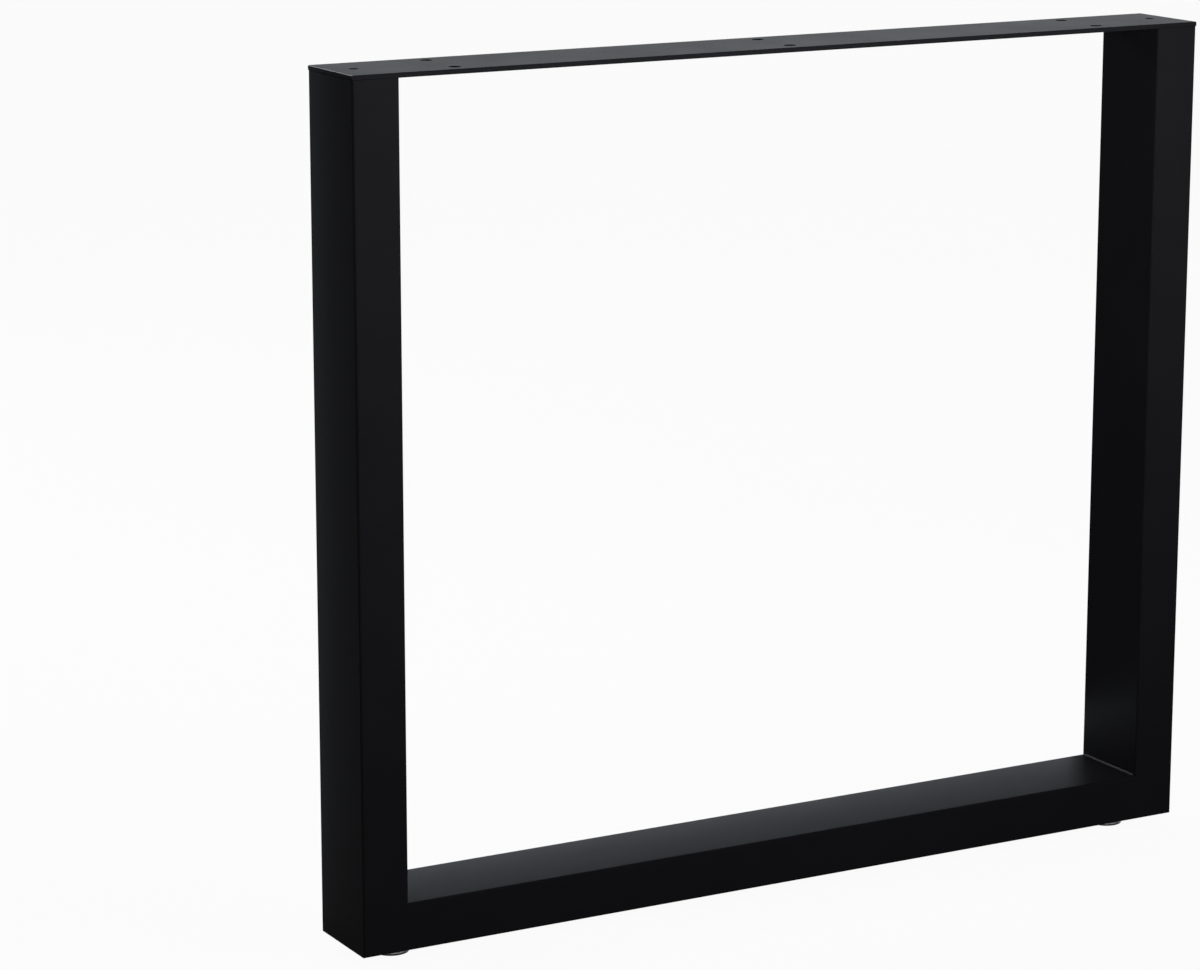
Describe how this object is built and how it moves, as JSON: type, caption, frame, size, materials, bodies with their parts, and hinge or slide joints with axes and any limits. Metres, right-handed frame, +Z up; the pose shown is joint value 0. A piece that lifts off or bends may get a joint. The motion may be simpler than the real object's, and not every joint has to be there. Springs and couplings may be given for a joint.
{
  "type": "table leg",
  "caption": "Closed-frame steel table leg of rectangular tube with a drilled plate under the table top and screw-in levelling feet.",
  "frame": {"origin": "on the floor, under the middle of the leg", "axes": "X along the leg's width, Y along its depth with the front at -Y, Z up from the floor to the table top"},
  "size_m": [0.8, 0.08, 0.72],
  "materials": {
    "black_powder_coat": "fine-textured matt black powder coat on steel",
    "zinc_plated_steel": "bright zinc plating on steel",
    "black_nylon": "moulded black nylon, slight sheen"
  },
  "bodies": {
    "frame": {"left_post": "black_powder_coat", "right_post": "black_powder_coat", "bottom_rail": "black_powder_coat", "top_plate": "black_powder_coat", "left_corner_weld": "black_powder_coat", "right_corner_weld": "black_powder_coat", "left_plate_weld": "black_powder_coat", "right_plate_weld": "black_powder_coat", "left_foot_insert": "zinc_plated_steel", "right_foot_insert": "zinc_plated_steel"},
    "left_base": {"left_foot_base": "black_nylon"},
    "left_stud": {"left_foot_stud": "zinc_plated_steel"},
    "right_base": {"right_foot_base": "black_nylon"},
    "right_stud": {"right_foot_stud": "zinc_plated_steel"}
  },
  "joints": [
    {"name": "left_foot_height", "type": "slide", "parent": "frame", "child": "left_base", "axis": [0, 0, -1], "range_m": [0, 0.01]},
    {"name": "left_stud_turn", "type": "hinge", "parent": "left_base", "child": "left_stud", "pos_m": [-0.357, 0, 0.006], "axis": [0, 0, -1], "range_deg": [0, 2880]},
    {"name": "right_foot_height", "type": "slide", "parent": "frame", "child": "right_base", "axis": [0, 0, -1], "range_m": [0, 0.01]},
    {"name": "right_stud_turn", "type": "hinge", "parent": "right_base", "child": "right_stud", "pos_m": [0.357, 0, 0.006], "axis": [0, 0, -1], "range_deg": [0, 2880]}
  ],
  "couplings": [
    {"joint": "left_stud_turn", "follows": "left_foot_height", "rad_per_m": 5026.5},
    {"joint": "right_stud_turn", "follows": "right_foot_height", "rad_per_m": 5026.5}
  ]
}
